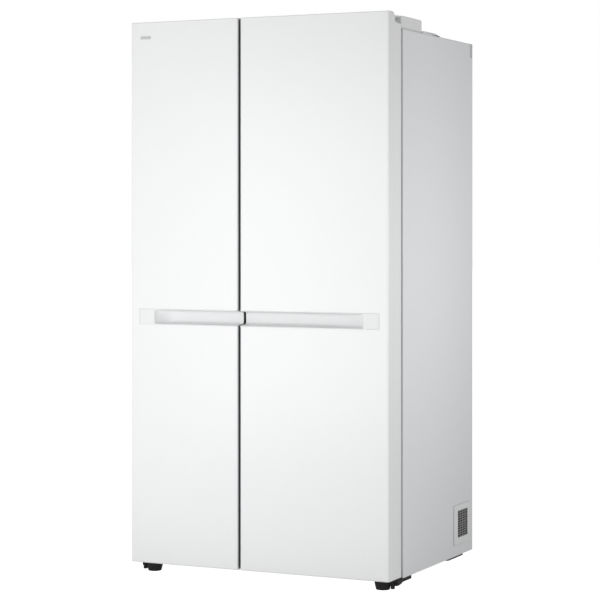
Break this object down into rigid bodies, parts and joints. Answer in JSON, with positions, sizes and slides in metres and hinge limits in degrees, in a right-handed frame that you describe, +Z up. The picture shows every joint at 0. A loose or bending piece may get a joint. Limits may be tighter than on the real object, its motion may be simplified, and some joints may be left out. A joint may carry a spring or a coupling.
{
  "type": "side by side refrigerator",
  "caption": "Free-standing side by side refrigerator and freezer with two hinged doors, recessed grips, shelves, drawers, door bins and rear cooling machinery.",
  "frame": {"origin": "on the floor, under the middle of the width and of the depth from the door fronts to the rear edge", "axes": "+X to the right as seen facing the doors, -Y out of the doors, +Z up"},
  "size_m": [0.914, 0.737, 1.796],
  "materials": {
    "white_enamel": "gloss",
    "galvanised_steel": "satin",
    "insulating_foam": "matte",
    "liner_plastic": "satin",
    "zinc_steel": "satin",
    "black_enamel": "satin",
    "white_plastic": "satin",
    "grey_plastic": "matte",
    "shelf_glass": "gloss",
    "clear_plastic": "gloss",
    "gasket_rubber": "matte",
    "black_plastic": "matte",
    "black_rubber": "matte",
    "lamp_lens": "satin",
    "badge_metal": "satin"
  },
  "bodies": {
    "cabinet": {"case_wrapper": "white_enamel", "front_frame": "white_enamel", "back_panel": "galvanised_steel", "rear_top_spacer": "grey_plastic", "cabinet_foam": "insulating_foam", "freezer_liner": "liner_plastic", "fridge_liner": "liner_plastic", "base_frame": "galvanised_steel", "upper_hinge_left": "zinc_steel", "upper_hinge_right": "zinc_steel", "lower_hinge_left": "black_enamel", "lower_hinge_right": "black_enamel", "hinge_cover_left": "white_plastic", "hinge_cover_right": "white_plastic", "top_wiring_cover": "white_plastic", "fridge_duct_cover": "liner_plastic", "freezer_duct_cover": "liner_plastic", "evaporator": "galvanised_steel", "fan_motors": "black_plastic", "condenser": "black_enamel", "compressor": "black_enamel", "compressor_mounts": "black_rubber", "drip_pan": "black_plastic", "machine_cover": "galvanised_steel", "cord_gland": "black_rubber", "side_vent": "white_plastic", "interior_lamps": "lamp_lens", "control_panel": "liner_plastic", "fridge_shelves": "shelf_glass", "freezer_shelves": "shelf_glass", "shelf_trims": "liner_plastic"},
    "fridge_door": {"fridge_door_skin": "white_enamel", "fridge_door_foam": "insulating_foam", "fridge_door_liner": "liner_plastic", "fridge_door_gasket": "gasket_rubber", "fridge_door_caps": "white_plastic", "fridge_door_grip": "white_plastic", "fridge_door_bushes": "black_plastic", "fridge_door_bins": "clear_plastic"},
    "freezer_door": {"freezer_door_skin": "white_enamel", "freezer_door_foam": "insulating_foam", "freezer_door_liner": "liner_plastic", "freezer_door_gasket": "gasket_rubber", "freezer_door_caps": "white_plastic", "freezer_door_grip": "white_plastic", "freezer_door_bushes": "black_plastic", "freezer_door_bins": "clear_plastic", "front_badge": "badge_metal"},
    "evaporator_fan_body": {"evaporator_fan": "black_plastic"},
    "condenser_fan_body": {"condenser_fan": "black_plastic"},
    "fridge_temperature_button_body": {"fridge_temperature_button": "white_plastic"},
    "freezer_temperature_button_body": {"freezer_temperature_button": "white_plastic"},
    "crisper_drawer_upper_body": {"crisper_drawer_upper": "clear_plastic"},
    "crisper_drawer_lower_body": {"crisper_drawer_lower": "clear_plastic"},
    "freezer_drawer_upper_body": {"freezer_drawer_upper": "clear_plastic"},
    "freezer_drawer_lower_body": {"freezer_drawer_lower": "clear_plastic"},
    "foot_left_body": {"foot_left": "black_plastic"},
    "foot_right_body": {"foot_right": "black_plastic"},
    "rear_roller_left_body": {"rear_roller_left": "black_plastic"},
    "rear_roller_right_body": {"rear_roller_right": "black_plastic"}
  },
  "joints": [
    {"name": "fridge_door_hinge", "type": "hinge", "parent": "cabinet", "child": "fridge_door", "pos_m": [0.434, -0.292, 0.9], "axis": [0, 0, 1], "range_deg": [0, 115]},
    {"name": "freezer_door_hinge", "type": "hinge", "parent": "cabinet", "child": "freezer_door", "pos_m": [-0.434, -0.292, 0.9], "axis": [0, 0, -1], "range_deg": [0, 115]},
    {"name": "crisper_drawer_upper_slide", "type": "slide", "parent": "cabinet", "child": "crisper_drawer_upper_body", "axis": [0, -1, 0], "range_m": [0, 0.21]},
    {"name": "crisper_drawer_lower_slide", "type": "slide", "parent": "cabinet", "child": "crisper_drawer_lower_body", "axis": [0, -1, 0], "range_m": [0, 0.21]},
    {"name": "freezer_drawer_upper_slide", "type": "slide", "parent": "cabinet", "child": "freezer_drawer_upper_body", "axis": [0, -1, 0], "range_m": [0, 0.21]},
    {"name": "freezer_drawer_lower_slide", "type": "slide", "parent": "cabinet", "child": "freezer_drawer_lower_body", "axis": [0, -1, 0], "range_m": [0, 0.21]},
    {"name": "fridge_temperature_button_press", "type": "slide", "parent": "cabinet", "child": "fridge_temperature_button_body", "axis": [0, 0, 1], "range_m": [0, 0.0015], "stiffness_N_per_m": 400},
    {"name": "freezer_temperature_button_press", "type": "slide", "parent": "cabinet", "child": "freezer_temperature_button_body", "axis": [0, 0, 1], "range_m": [0, 0.0015], "stiffness_N_per_m": 400},
    {"name": "evaporator_fan_spin", "type": "hinge", "parent": "cabinet", "child": "evaporator_fan_body", "pos_m": [-0.248, 0.26, 0.862], "axis": [0, 1, 0], "continuous": true},
    {"name": "condenser_fan_spin", "type": "hinge", "parent": "cabinet", "child": "condenser_fan_body", "pos_m": [0.122, 0.262, 0.145], "axis": [1, 0, 0], "continuous": true},
    {"name": "foot_left_turn", "type": "hinge", "parent": "cabinet", "child": "foot_left_body", "pos_m": [-0.407, -0.298, 0.01], "axis": [0, 0, 1], "continuous": true},
    {"name": "foot_right_turn", "type": "hinge", "parent": "cabinet", "child": "foot_right_body", "pos_m": [0.407, -0.298, 0.01], "axis": [0, 0, 1], "continuous": true},
    {"name": "rear_roller_left_roll", "type": "hinge", "parent": "cabinet", "child": "rear_roller_left_body", "pos_m": [-0.35, 0.195, 0.025], "axis": [1, 0, 0], "continuous": true},
    {"name": "rear_roller_right_roll", "type": "hinge", "parent": "cabinet", "child": "rear_roller_right_body", "pos_m": [0.35, 0.195, 0.025], "axis": [1, 0, 0], "continuous": true}
  ],
  "couplings": [
    {"joint": "crisper_drawer_upper_slide", "follows": "fridge_door_hinge", "m_per_rad": 0.1046},
    {"joint": "crisper_drawer_lower_slide", "follows": "fridge_door_hinge", "m_per_rad": 0.1046},
    {"joint": "freezer_drawer_upper_slide", "follows": "freezer_door_hinge", "m_per_rad": 0.1046},
    {"joint": "freezer_drawer_lower_slide", "follows": "freezer_door_hinge", "m_per_rad": 0.1046}
  ]
}
